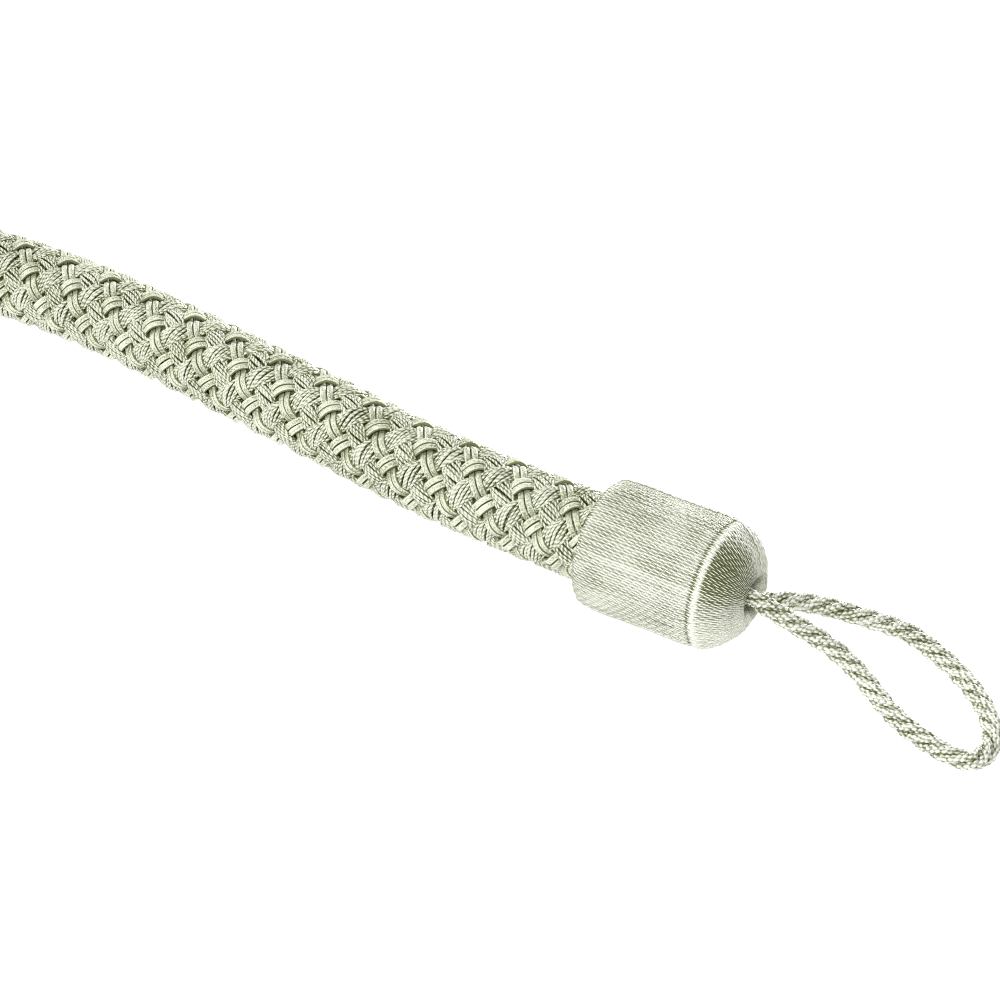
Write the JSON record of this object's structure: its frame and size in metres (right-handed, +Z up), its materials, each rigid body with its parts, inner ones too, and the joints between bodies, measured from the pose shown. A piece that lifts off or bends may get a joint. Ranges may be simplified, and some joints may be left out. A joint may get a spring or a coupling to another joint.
{
  "type": "rope curtain tieback",
  "caption": "Braided rope curtain tieback with a thread-wound cap and a twisted hook loop at each end, lying in an open bend.",
  "frame": {"origin": "middle of the tieback's box, on the surface it lies on", "axes": "+Z up from the surface, +X along the longer way of the open bend towards the right cap, the bend opens towards -Y"},
  "size_m": [0.4123, 0.3074, 0.0287],
  "materials": {
    "braided_yarn": "silky braid",
    "wound_thread": "glossy wound thread",
    "loop_cord": "silky twisted cord"
  },
  "bodies": {
    "root": {"braided_rope": "braided_yarn", "wound_cap_right": "wound_thread", "wound_cap_left": "wound_thread", "hook_loop_right": "loop_cord", "hook_loop_left": "loop_cord"}
  },
  "joints": []
}
